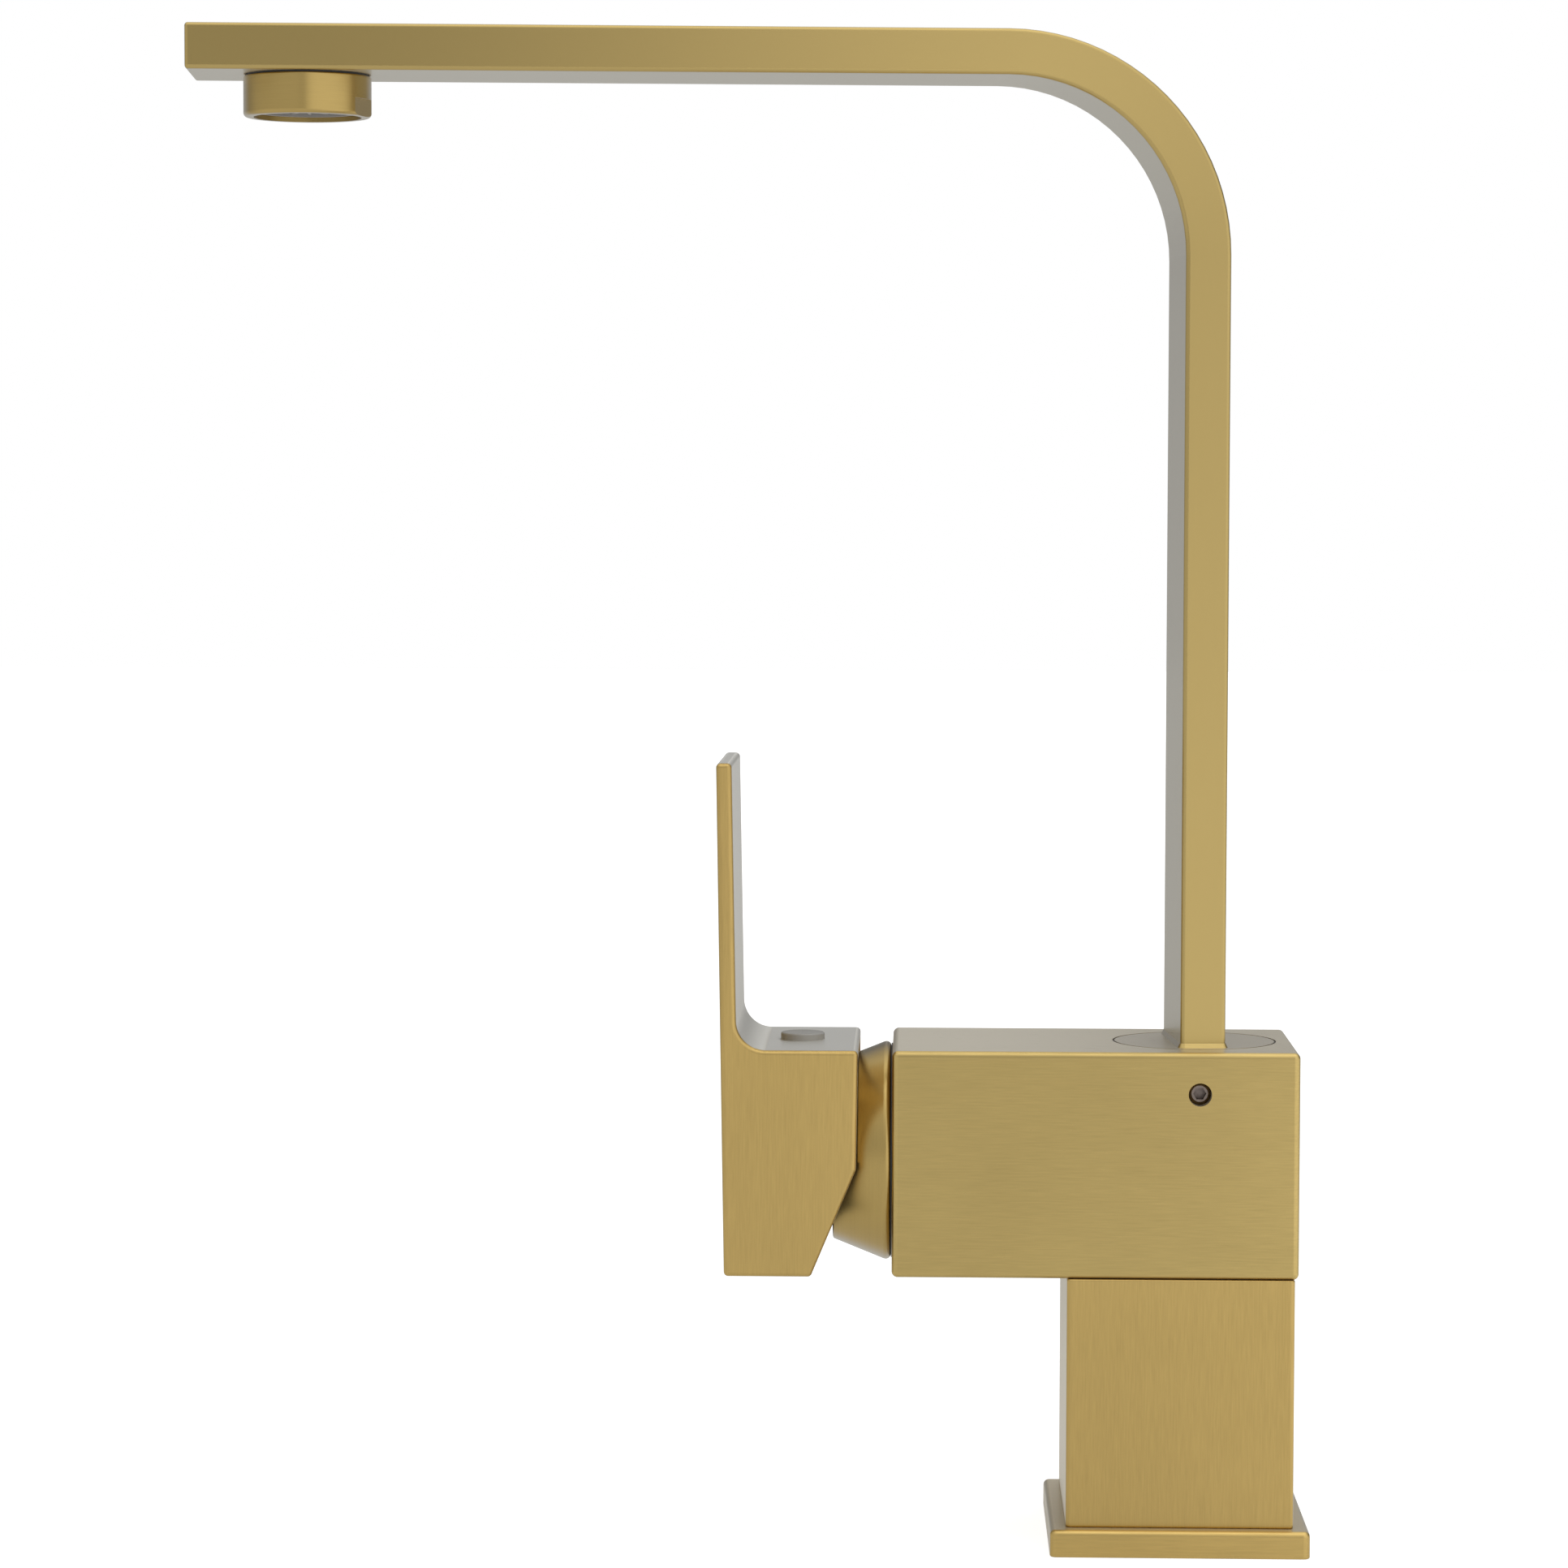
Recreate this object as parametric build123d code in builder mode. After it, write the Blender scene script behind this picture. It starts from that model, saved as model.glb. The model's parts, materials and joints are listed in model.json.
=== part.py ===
from build123d import *
from math import cos, radians, sin, tan
import os

# Square-section single-lever kitchen mixer tap, in millimetres.
# The origin is the centre of the base plate's underside. +Z is up, the spout and the lever are
# at the -X end, and the face with the spout's grub screw looks along -Y.

os.makedirs("parts", exist_ok=True)

# ---- driving dimensions: outside ----
SECTION = 50.0
EDGE = 1.0
SMALL_EDGE = 0.4
BASE_TOP_EDGE = 1.2
BASE_CORNER = 1.5
BASE_SIDE = 57.0
BASE_HEIGHT = 6.0
COLUMN_TOP = 61.0
COLUMN_WALL = 3.0
BODY_LEFT = -63.5
BODY_RIGHT = 25.8
BODY_TOP = COLUMN_TOP + SECTION
BODY_EDGE = 1.3

# ---- driving dimensions: spout ----
SWIVEL_X = 3.9
REST_SWIVEL = 4.36
TUBE_WIDTH = 30.0
TUBE_DEPTH = 10.0
TUBE_WALL = 1.2
TUBE_EDGE = 0.9
BEND_INNER = 39.0
SPOUT_TOP = 334.2
SPOUT_REACH = 222.8
END_CAP = 1.2
OUTLET_REACH = 197.1
COLLAR_RADIUS = 14.0
COLLAR_BOTTOM = 315.0
COLLAR_GAP = 0.35
NIPPLE_RADIUS = 12.0

# ---- driving dimensions: spout bearing in the body ----
SWIVEL_DISC_RADIUS = 17.8
SWIVEL_DISC_SEAT = BODY_TOP - 3.0
GLIDE_THICKNESS = 0.5
SOCKET_RADIUS = 13.0
SOCKET_FLOOR = 84.0
RUNNING_GAP = 0.06
GRUB_RADIUS = 2.5
GRUB_HEX_RADIUS = 1.44
GRUB_HEX_DEPTH = 2.8
THREAD_GAP = 0.05
GRUB_Z = 101.8

# ---- driving dimensions: cartridge, on an axis along X ----
AXIS_Z = COLUMN_TOP + SECTION / 2
PIVOT_X = -64.0
LIFT = 22.0
STEM_SIDE = 8.0
STEM_INNER_ARM = 11.0
BALL_RADIUS = 2.4
CARTRIDGE_RADIUS = 17.5
CARTRIDGE_WALL = 1.9
NECK_TOP = -71.0
SHOULDER_X = -61.5
NECK_RADIUS = 13.0
NECK_BORE = 11.0
BASE_TOP = -42.0
BASE_BOTTOM = -38.0
POCKET_FLOOR = -37.6
SPIGOT_END = -69.5
SPIGOT_RADIUS = 20.3
NUT_RADIUS = 18.45

# ---- driving dimensions: water ways ----
INLET_Y = 7.5
INLET_DROP = 7.0
INLET_RADIUS = 3.0
OUTLET_RISE = 6.5
OUTLET_RADIUS = 3.2
HOSE_PORT_RADIUS = 4.5
HOSE_PORT_DEPTH = 10.0
SUPPLY_RADIUS = 5.0
SUPPLY_BORE = 3.5
SUPPLY_SOCKET = 4.0
STUD_X = 11.0
STUD_RADIUS = 3.4
STUD_DEPTH = 13.0
BLOCK_TOP = 16.0
BLOCK_SIDE = 43.6
SHANK_RADIUS = 16.0

# ---- driving dimensions: cover and handle ----
COVER_BACK = -63.8
COVER_RIM = -65.4
COVER_FRONT = -76.7
COVER_RIM_RADIUS = 24.3
COVER_FRONT_RADIUS = 19.8
COVER_OPENING = 15.0
HANDLE_BOTTOM = COLUMN_TOP
PADDLE_TOP = 174.0
HANDLE_FRONT = -100.4
HANDLE_FRONT_TOP = -102.3
PADDLE_THICKNESS = 3.45
HANDLE_BACK = -71.0
HANDLE_BACK_KNEE = -71.4
HANDLE_BACK_BOTTOM = -81.3
KNEE_Z = 84.7
FINGER_RADIUS = 6.5
HANDLE_WALL = 2.0
PLUG_X = -83.7
PLUG_RADIUS = 4.9
PLUG_PROUD = 1.5

# ---- frames ----
SWING = radians(REST_SWIVEL)
TILT = radians(LIFT / 2)
spout_x = (cos(SWING), sin(SWING), 0)
swivel_plane = Plane(origin=(SWIVEL_X, 0, 0), x_dir=spout_x, z_dir=(0, 0, 1))
spout_side = Plane(origin=(SWIVEL_X, 0, 0), x_dir=spout_x, z_dir=(sin(SWING), -cos(SWING), 0))
outlet_plane = Plane(
    origin=(SWIVEL_X - OUTLET_REACH * cos(SWING), -OUTLET_REACH * sin(SWING), 0),
    x_dir=spout_x,
    z_dir=(0, 0, 1),
)
cartridge_axis = Axis((0, 0, AXIS_Z), (1, 0, 0))
# The lever's own plane: local x runs out of the cartridge along the stem, local y is up.
stem_plane = Plane(
    origin=(PIVOT_X, 0, AXIS_Z), x_dir=(-cos(TILT), 0, sin(TILT)), z_dir=(0, 1, 0)
)


# ---- helpers ----
def save(piece, label):
    """Names a finished piece and writes it as one STEP file."""
    piece.part.label = label
    export_step(piece.part, f"parts/{label}.step")


def disc_z(plane, low, high, radius, mode=Mode.ADD, x=0.0, y=0.0):
    """A round disc or bore along Z between two heights."""
    with BuildSketch(plane.offset(low)) as outline:
        with Locations((x, y)):
            Circle(radius)
    extrude(outline.sketch, amount=high - low, mode=mode)


def disc_x(left, right, radius, mode=Mode.ADD, y=0.0, z=AXIS_Z):
    """A round disc or bore along X between two stations."""
    with BuildSketch(Plane.YZ.offset(left)) as outline:
        with Locations((y, z)):
            Circle(radius)
    extrude(outline.sketch, amount=right - left, mode=mode)


def block_z(low, high, x_side, y_side, mode=Mode.ADD):
    """A rectangular block on the Z axis between two heights."""
    with BuildSketch(Plane.XY.offset(low)) as outline:
        Rectangle(x_side, y_side)
    extrude(outline.sketch, amount=high - low, mode=mode)


# ================================================================ base and column
GASKET_OUTER = 23.0
GASKET_INNER = 19.5
GASKET_DEPTH = 1.8
FIT = 0.1
TIE_OFFSET = 16.0
TIE_RADIUS = 2.5
TIE_HEAD_RADIUS = 4.25
TIE_HEAD_HEIGHT = 5.0
TIE_HEX_RADIUS = 2.3
TIE_HEX_DEPTH = 2.6
TIE_CLEARANCE = 0.25
TIE_LIFT = 0.2
TIE_TOP = 71.5
tie_head_bottom = BASE_HEIGHT + TIE_LIFT
tie_head_top = tie_head_bottom + TIE_HEAD_HEIGHT
tie_points = [(-TIE_OFFSET, TIE_OFFSET), (TIE_OFFSET, -TIE_OFFSET)]
inlet_points = [(0, -INLET_Y), (0, INLET_Y)]
stud_points = [(-STUD_X, 0), (STUD_X, 0)]


def ring_z(low, high, outer, inner, points, mode=Mode.ADD):
    """Equal rings (or discs, with no inner radius) along Z at each of the points."""
    with BuildSketch(Plane.XY.offset(low)) as outline:
        with Locations(*points):
            Circle(outer)
            if inner > 0:
                Circle(inner, mode=Mode.SUBTRACT)
    extrude(outline.sketch, amount=high - low, mode=mode)


with BuildPart() as base_plate:
    block_z(0, BASE_HEIGHT, BASE_SIDE, BASE_SIDE)
    fillet(base_plate.edges().filter_by(Axis.Z), BASE_CORNER)
    fillet(base_plate.faces().sort_by(Axis.Z)[-1].edges(), BASE_TOP_EDGE)
    fillet(base_plate.faces().sort_by(Axis.Z)[0].edges(), SMALL_EDGE)
    disc_z(Plane.XY, 0, BASE_HEIGHT, SHANK_RADIUS + FIT, Mode.SUBTRACT)
    ring_z(0, GASKET_DEPTH, GASKET_OUTER + FIT, GASKET_INNER - FIT, [(0, 0)], Mode.SUBTRACT)
save(base_plate, "base_plate")

with BuildPart() as base_gasket:
    ring_z(0, GASKET_DEPTH, GASKET_OUTER, GASKET_INNER, [(0, 0)])
save(base_gasket, "base_gasket")

# The inlet block fills the foot of the column and passes through the base plate to the deck.
with BuildPart() as inlet_block:
    disc_z(Plane.XY, 0, BASE_HEIGHT, SHANK_RADIUS)
    block_z(BASE_HEIGHT, BLOCK_TOP, BLOCK_SIDE, BLOCK_SIDE)
    fillet(inlet_block.edges().filter_by(Axis.Z).filter_by(GeomType.LINE), EDGE)
    ring_z(0, HOSE_PORT_DEPTH, HOSE_PORT_RADIUS, 0, inlet_points, Mode.SUBTRACT)
    ring_z(0, BLOCK_TOP, INLET_RADIUS, 0, inlet_points, Mode.SUBTRACT)
    ring_z(BLOCK_TOP - SUPPLY_SOCKET, BLOCK_TOP, SUPPLY_RADIUS + FIT, 0, inlet_points, Mode.SUBTRACT)
    ring_z(0, STUD_DEPTH, STUD_RADIUS, 0, stud_points, Mode.SUBTRACT)
    ring_z(BASE_HEIGHT, BLOCK_TOP, TIE_RADIUS + TIE_CLEARANCE, 0, tie_points, Mode.SUBTRACT)
    head_hole_radius = TIE_HEAD_RADIUS + TIE_CLEARANCE
    ring_z(BASE_HEIGHT, tie_head_top, head_hole_radius, 0, tie_points, Mode.SUBTRACT)
save(inlet_block, "inlet_block")

SEAL_HEIGHT = 1.2
supply_low = BLOCK_TOP - SUPPLY_SOCKET + SEAL_HEIGHT
supply_high = COLUMN_TOP + SUPPLY_SOCKET - SEAL_HEIGHT

with BuildPart() as supply_tubes:
    ring_z(supply_low, supply_high, SUPPLY_RADIUS, SUPPLY_BORE, inlet_points)
save(supply_tubes, "supply_tubes")

with BuildPart() as supply_tube_seals:
    ring_z(supply_low - SEAL_HEIGHT, supply_low, SUPPLY_RADIUS, SUPPLY_BORE, inlet_points)
    ring_z(supply_high, supply_high + SEAL_HEIGHT, SUPPLY_RADIUS, SUPPLY_BORE, inlet_points)
save(supply_tube_seals, "supply_tube_seals")

with BuildPart() as tie_screws:
    ring_z(tie_head_bottom, tie_head_top, TIE_HEAD_RADIUS, 0, tie_points)
    ring_z(tie_head_top, TIE_TOP, TIE_RADIUS, 0, tie_points)
    with BuildSketch(Plane.XY.offset(tie_head_bottom)) as tie_sockets:
        with Locations(*tie_points):
            RegularPolygon(TIE_HEX_RADIUS, 6)
    extrude(tie_sockets.sketch, amount=TIE_HEX_DEPTH, mode=Mode.SUBTRACT)
save(tie_screws, "tie_screws")

# A square sleeve with a ledge inside, which the inlet block pulls up against the body.
LEDGE_INSET = 1.5
with BuildPart() as column:
    block_z(BASE_HEIGHT, COLUMN_TOP, SECTION, SECTION)
    fillet(column.edges().filter_by(Axis.Z), EDGE)
    fillet(column.faces().sort_by(Axis.Z)[-1].edges(), SMALL_EDGE)
    fillet(column.faces().sort_by(Axis.Z)[0].edges(), SMALL_EDGE)
    inner_side = SECTION - 2 * COLUMN_WALL
    block_z(BASE_HEIGHT, BLOCK_TOP, inner_side, inner_side, Mode.SUBTRACT)
    ledge_side = inner_side - 2 * LEDGE_INSET
    block_z(BLOCK_TOP, COLUMN_TOP, ledge_side, ledge_side, Mode.SUBTRACT)
save(column, "column")


# ================================================================ body
POCKET_RADIUS = CARTRIDGE_RADIUS + 0.2
THREAD_DEPTH = -60.0
DISC_SIDE_GAP = 0.45
TIP_ROOM = 0.5
GRUB_FACE_RECESS = 2.3
GRUB_TIP_Y = -11.6
GRUB_POINT_RADIUS = 1.6
GRUB_POINT_LENGTH = 2.0
GRUB_CHAMFER = 0.7
body_middle = (BODY_LEFT + BODY_RIGHT) / 2
hot_cold_z = AXIS_Z - INLET_DROP
mixed_z = AXIS_Z + OUTLET_RISE

with BuildPart() as body:
    with BuildSketch(Plane.XY.offset(COLUMN_TOP)) as body_plan:
        with Locations((body_middle, 0)):
            Rectangle(BODY_RIGHT - BODY_LEFT, SECTION)
    extrude(body_plan.sketch, amount=SECTION)
    fillet(body.edges(), BODY_EDGE)
    # spigot for the cartridge cover, then the cartridge pocket through it
    disc_x(SPIGOT_END, BODY_LEFT, SPIGOT_RADIUS)
    disc_x(SPIGOT_END, POCKET_FLOOR, POCKET_RADIUS, Mode.SUBTRACT)
    disc_x(SPIGOT_END, THREAD_DEPTH, NUT_RADIUS + THREAD_GAP, Mode.SUBTRACT)
    # spout socket with its counterbore
    disc_z(swivel_plane, SOCKET_FLOOR, BODY_TOP, SOCKET_RADIUS, Mode.SUBTRACT)
    disc_z(swivel_plane, SWIVEL_DISC_SEAT, BODY_TOP, SWIVEL_DISC_RADIUS + DISC_SIDE_GAP, Mode.SUBTRACT)
    # hot and cold ways: up from the column, then along to the cartridge
    ring_z(COLUMN_TOP, COLUMN_TOP + SUPPLY_SOCKET, SUPPLY_RADIUS + FIT, 0, inlet_points, Mode.SUBTRACT)
    ring_z(COLUMN_TOP, hot_cold_z, INLET_RADIUS, 0, inlet_points, Mode.SUBTRACT)
    disc_x(POCKET_FLOOR, INLET_RADIUS, INLET_RADIUS, Mode.SUBTRACT, -INLET_Y, hot_cold_z)
    disc_x(POCKET_FLOOR, INLET_RADIUS, INLET_RADIUS, Mode.SUBTRACT, INLET_Y, hot_cold_z)
    # mixed water way from the cartridge to the spout socket
    disc_x(POCKET_FLOOR, SWIVEL_X, OUTLET_RADIUS, Mode.SUBTRACT, 0, mixed_z)
    # threads for the tie screws
    ring_z(COLUMN_TOP, TIE_TOP + TIP_ROOM, TIE_RADIUS + THREAD_GAP, 0, tie_points, Mode.SUBTRACT)
    # threaded hole for the spout's grub screw
    with BuildSketch(Plane.XZ) as grub_hole:
        with Locations((SWIVEL_X, GRUB_Z)):
            Circle(GRUB_RADIUS + THREAD_GAP)
    extrude(grub_hole.sketch, amount=SECTION / 2, mode=Mode.SUBTRACT)
save(body, "body")

with BuildPart() as spout_grub_screw:
    grub_outer_y = SECTION / 2 - GRUB_FACE_RECESS
    with BuildSketch(Plane.XZ.offset(-GRUB_TIP_Y)) as dog_point:
        with Locations((SWIVEL_X, GRUB_Z)):
            Circle(GRUB_POINT_RADIUS)
    extrude(dog_point.sketch, amount=GRUB_POINT_LENGTH)
    with BuildSketch(Plane.XZ.offset(GRUB_POINT_LENGTH - GRUB_TIP_Y)) as grub_thread:
        with Locations((SWIVEL_X, GRUB_Z)):
            Circle(GRUB_RADIUS)
    extrude(grub_thread.sketch, amount=grub_outer_y + GRUB_TIP_Y - GRUB_POINT_LENGTH)
    chamfer(spout_grub_screw.faces().sort_by(Axis.Y)[0].edges(), GRUB_CHAMFER)
    with BuildSketch(Plane.XZ.offset(grub_outer_y)) as grub_socket:
        with Locations((SWIVEL_X, GRUB_Z)):
            RegularPolygon(GRUB_HEX_RADIUS, 6)
    extrude(grub_socket.sketch, amount=-GRUB_HEX_DEPTH, mode=Mode.SUBTRACT)
save(spout_grub_screw, "spout_grub_screw")

with BuildPart() as glide_washer:
    disc_z(swivel_plane, SWIVEL_DISC_SEAT, SWIVEL_DISC_SEAT + GLIDE_THICKNESS, SWIVEL_DISC_RADIUS)
    disc_z(swivel_plane, SWIVEL_DISC_SEAT, BODY_TOP, SOCKET_RADIUS + FIT, Mode.SUBTRACT)
save(glide_washer, "glide_washer")


# ================================================================ spout
STEM_RADIUS = SOCKET_RADIUS - RUNNING_GAP
STEM_BORE = 8.0
STEM_BOTTOM = SOCKET_FLOOR + 0.5
SEAL_GROOVE = 1.6
WATER_GROOVE = 1.5
GRUB_GROOVE = 1.8
GUIDE_GROOVE = 1.0
CROSS_HOLE_RADIUS = 2.6
THROAT_DEPTH = 5.0
THROAT_WIDTH = 14.0
FLARE_CORNER = 1.5
BRAZE = 0.1
ring_zones = [(86.2, 88.4), (96.6, 98.8)]
WATER_ZONE = (89.3, 95.7)
GRUB_ZONE = (99.8, 103.8)
GUIDE_ZONE = (104.6, 107.4)
TUBE_SINK = 1.4
FLARE_WIDTH = 0.6
FLARE_HEIGHT = 1.0


def groove_z(zone, radius):
    """A groove turned into the spout's stem between two heights, down to a radius."""
    with BuildSketch(swivel_plane.offset(zone[0])) as outline:
        Circle(STEM_RADIUS + 1)
        Circle(radius, mode=Mode.SUBTRACT)
    extrude(outline.sketch, amount=zone[1] - zone[0], mode=Mode.SUBTRACT)


with BuildPart() as spout_foot:
    disc_z(swivel_plane, STEM_BOTTOM, BODY_TOP, STEM_RADIUS)
    disc_z(swivel_plane, SWIVEL_DISC_SEAT + GLIDE_THICKNESS, BODY_TOP, SWIVEL_DISC_RADIUS)
    # brazed flare where the tube stands on the disc
    with BuildSketch(swivel_plane.offset(BODY_TOP)) as flare_base:
        RectangleRounded(TUBE_DEPTH + 2 * FLARE_WIDTH, TUBE_WIDTH + 2 * FLARE_WIDTH, FLARE_CORNER)
    with BuildSketch(swivel_plane.offset(BODY_TOP + FLARE_HEIGHT)) as flare_top:
        RectangleRounded(TUBE_DEPTH + 2 * BRAZE, TUBE_WIDTH + 2 * BRAZE, TUBE_EDGE + BRAZE)
    loft([flare_base.sketch.face(), flare_top.sketch.face()], ruled=True)
    with BuildSketch(swivel_plane.offset(BODY_TOP - TUBE_SINK)) as tube_seat:
        RectangleRounded(TUBE_DEPTH, TUBE_WIDTH, TUBE_EDGE)
    extrude(tube_seat.sketch, amount=TUBE_SINK + FLARE_HEIGHT + 1, mode=Mode.SUBTRACT)
    # water way, grooves and cross holes
    disc_z(swivel_plane, STEM_BOTTOM, BODY_TOP - THROAT_DEPTH, STEM_BORE, Mode.SUBTRACT)
    with BuildSketch(swivel_plane.offset(BODY_TOP - THROAT_DEPTH - TUBE_SINK)) as throat:
        Rectangle(TUBE_DEPTH - 2 * TUBE_WALL, THROAT_WIDTH)
    extrude(throat.sketch, amount=THROAT_DEPTH + TUBE_SINK, mode=Mode.SUBTRACT)
    for zone in ring_zones:
        groove_z(zone, STEM_RADIUS - SEAL_GROOVE)
    groove_z(WATER_ZONE, STEM_RADIUS - WATER_GROOVE)
    groove_z(GRUB_ZONE, STEM_RADIUS - GRUB_GROOVE)
    groove_z(GUIDE_ZONE, STEM_RADIUS - GUIDE_GROOVE)
    water_middle = sum(WATER_ZONE) / 2
    with BuildSketch(Plane.YZ.offset(SWIVEL_X - SOCKET_RADIUS)) as cross_hole_x:
        with Locations((0, water_middle)):
            Circle(CROSS_HOLE_RADIUS)
    extrude(cross_hole_x.sketch, amount=2 * SOCKET_RADIUS, mode=Mode.SUBTRACT)
    with BuildSketch(Plane.XZ.offset(-SOCKET_RADIUS)) as cross_hole_y:
        with Locations((SWIVEL_X, water_middle)):
            Circle(CROSS_HOLE_RADIUS)
    extrude(cross_hole_y.sketch, amount=2 * SOCKET_RADIUS, mode=Mode.SUBTRACT)
save(spout_foot, "spout_foot")

# O-rings: each is a turned ring with a round section, seated in its groove.
RING_SECTION = 0.78
RING_GAP = 0.04
GUIDE_GAP = 0.03
GUIDE_END_GAP = 0.1
with BuildPart() as stem_o_rings:
    for zone in ring_zones:
        ring_middle = sum(zone) / 2
        with BuildSketch(spout_side) as ring_section:
            with Locations((SOCKET_RADIUS - RING_GAP - RING_SECTION, ring_middle)):
                Circle(RING_SECTION)
        revolve(ring_section.sketch, axis=Axis((SWIVEL_X, 0, 0), (0, 0, 1)))
save(stem_o_rings, "stem_o_rings")

with BuildPart() as stem_guide_ring:
    guide_low = GUIDE_ZONE[0] + GUIDE_END_GAP
    guide_high = GUIDE_ZONE[1] - GUIDE_END_GAP
    guide_bore = STEM_RADIUS - GUIDE_GROOVE + THREAD_GAP
    disc_z(swivel_plane, guide_low, guide_high, SOCKET_RADIUS - GUIDE_GAP)
    disc_z(swivel_plane, guide_low, guide_high, guide_bore, Mode.SUBTRACT)
save(stem_guide_ring, "stem_guide_ring")


def spout_profile(inset, reach, foot):
    """The bent side view of the tube, drawn as local x and height, inset on every long side."""
    outer_x = TUBE_DEPTH / 2 - inset
    inner_x = -outer_x
    top = SPOUT_TOP - inset
    under = SPOUT_TOP - TUBE_DEPTH + inset
    bend_x = -TUBE_DEPTH / 2 - BEND_INNER
    bend_z = SPOUT_TOP - TUBE_DEPTH - BEND_INNER
    centre = (bend_x, bend_z)
    outer_radius = BEND_INNER + TUBE_DEPTH - inset
    inner_radius = BEND_INNER + inset
    Line((outer_x, foot), (outer_x, bend_z))
    CenterArc(centre, outer_radius, 0, 90)
    Line((bend_x, top), (-reach, top))
    Line((-reach, top), (-reach, under))
    Line((-reach, under), (bend_x, under))
    CenterArc(centre, inner_radius, 0, 90)
    Line((inner_x, bend_z), (inner_x, foot))
    Line((inner_x, foot), (outer_x, foot))


OUTLET_HOLE_RADIUS = 11.1
CAP_EDGE = 0.7
tube_end = SPOUT_REACH - END_CAP
with BuildPart() as spout_tube:
    with BuildSketch(spout_side) as tube_side:
        with BuildLine():
            spout_profile(0, tube_end, BODY_TOP - TUBE_SINK)
        make_face()
    extrude(tube_side.sketch, amount=TUBE_WIDTH / 2, both=True)
    side_faces = spout_tube.faces().filter_by(Axis((0, 0, 0), spout_side.z_dir))
    long_edges = side_faces.edges() - spout_tube.faces().sort_by(Axis.Z)[0].edges()
    end_face = spout_tube.faces().sort_by(Axis((0, 0, 0), spout_x))[0]
    fillet(long_edges - end_face.edges(), TUBE_EDGE)
    with BuildSketch(spout_side) as bore_side:
        with BuildLine():
            spout_profile(TUBE_WALL, tube_end + 1, BODY_TOP - TUBE_SINK - 1)
        make_face()
    extrude(bore_side.sketch, amount=TUBE_WIDTH / 2 - TUBE_WALL, both=True, mode=Mode.SUBTRACT)
    # hole for the outlet nipple
    disc_z(outlet_plane, COLLAR_BOTTOM, SPOUT_TOP - TUBE_DEPTH / 2, OUTLET_HOLE_RADIUS, Mode.SUBTRACT)
save(spout_tube, "spout_tube")

with BuildPart() as spout_end_cap:
    with BuildSketch(spout_side) as cap_side:
        with Locations((-tube_end - END_CAP / 2, SPOUT_TOP - TUBE_DEPTH / 2)):
            Rectangle(END_CAP, TUBE_DEPTH)
    extrude(cap_side.sketch, amount=TUBE_WIDTH / 2, both=True)
    fillet(spout_end_cap.edges().filter_by(Axis((0, 0, 0), spout_x)), TUBE_EDGE)
    cap_face = spout_end_cap.faces().sort_by(Axis((0, 0, 0), spout_x))[0]
    fillet(cap_face.edges(), CAP_EDGE)
save(spout_end_cap, "spout_end_cap")

# ---- outlet under the spout's end, all turned about one vertical axis ----
under_spout = SPOUT_TOP - TUBE_DEPTH
NIPPLE_END = 320.7
SCREEN_TOP = 319.4
SCREEN_HEIGHT = 0.4
INSERT_BOTTOM = 316.0
INSERT_RADIUS = 11.4
LIP_RADIUS = 11.8
NIPPLE_BORE = 9.2
WASHER_INNER = 8.5
WASHER_GAP = 0.2
COLLAR_EDGE = 0.9
FLAT_DEPTH = 0.8
FLAT_HEIGHT = 3.8
FLAT_TURN = -20.0

with BuildPart() as outlet_nipple:
    disc_z(outlet_plane, NIPPLE_END, under_spout, NIPPLE_RADIUS)
    disc_z(outlet_plane, under_spout, under_spout + TUBE_WALL, OUTLET_HOLE_RADIUS - FIT)
    disc_z(outlet_plane, NIPPLE_END, under_spout + TUBE_WALL, NIPPLE_BORE, Mode.SUBTRACT)
save(outlet_nipple, "outlet_nipple")

collar_top = under_spout - COLLAR_GAP
with BuildPart() as aerator_housing:
    disc_z(outlet_plane, COLLAR_BOTTOM, collar_top, COLLAR_RADIUS)
    fillet(aerator_housing.faces().sort_by(Axis.Z)[0].edges(), COLLAR_EDGE)
    fillet(aerator_housing.faces().sort_by(Axis.Z)[-1].edges(), SMALL_EDGE)
    disc_z(outlet_plane, SCREEN_TOP, collar_top, NIPPLE_RADIUS + THREAD_GAP, Mode.SUBTRACT)
    disc_z(outlet_plane, COLLAR_BOTTOM, SCREEN_TOP, LIP_RADIUS, Mode.SUBTRACT)
    # two spanner flats, on the lower half of the collar
    with BuildSketch(outlet_plane.offset(COLLAR_BOTTOM)) as flats:
        with PolarLocations(COLLAR_RADIUS - FLAT_DEPTH, 2, start_angle=FLAT_TURN):
            Rectangle(COLLAR_RADIUS, 2 * COLLAR_RADIUS, align=(Align.MIN, Align.CENTER))
    extrude(flats.sketch, amount=FLAT_HEIGHT, mode=Mode.SUBTRACT)
save(aerator_housing, "aerator_housing")

with BuildPart() as aerator_washer:
    disc_z(outlet_plane, SCREEN_TOP, NIPPLE_END, NIPPLE_RADIUS - WASHER_GAP)
    disc_z(outlet_plane, SCREEN_TOP, NIPPLE_END, WASHER_INNER, Mode.SUBTRACT)
save(aerator_washer, "aerator_washer")

with BuildPart() as aerator_screen:
    disc_z(outlet_plane, SCREEN_TOP - SCREEN_HEIGHT, SCREEN_TOP, INSERT_RADIUS)
save(aerator_screen, "aerator_screen")

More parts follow.
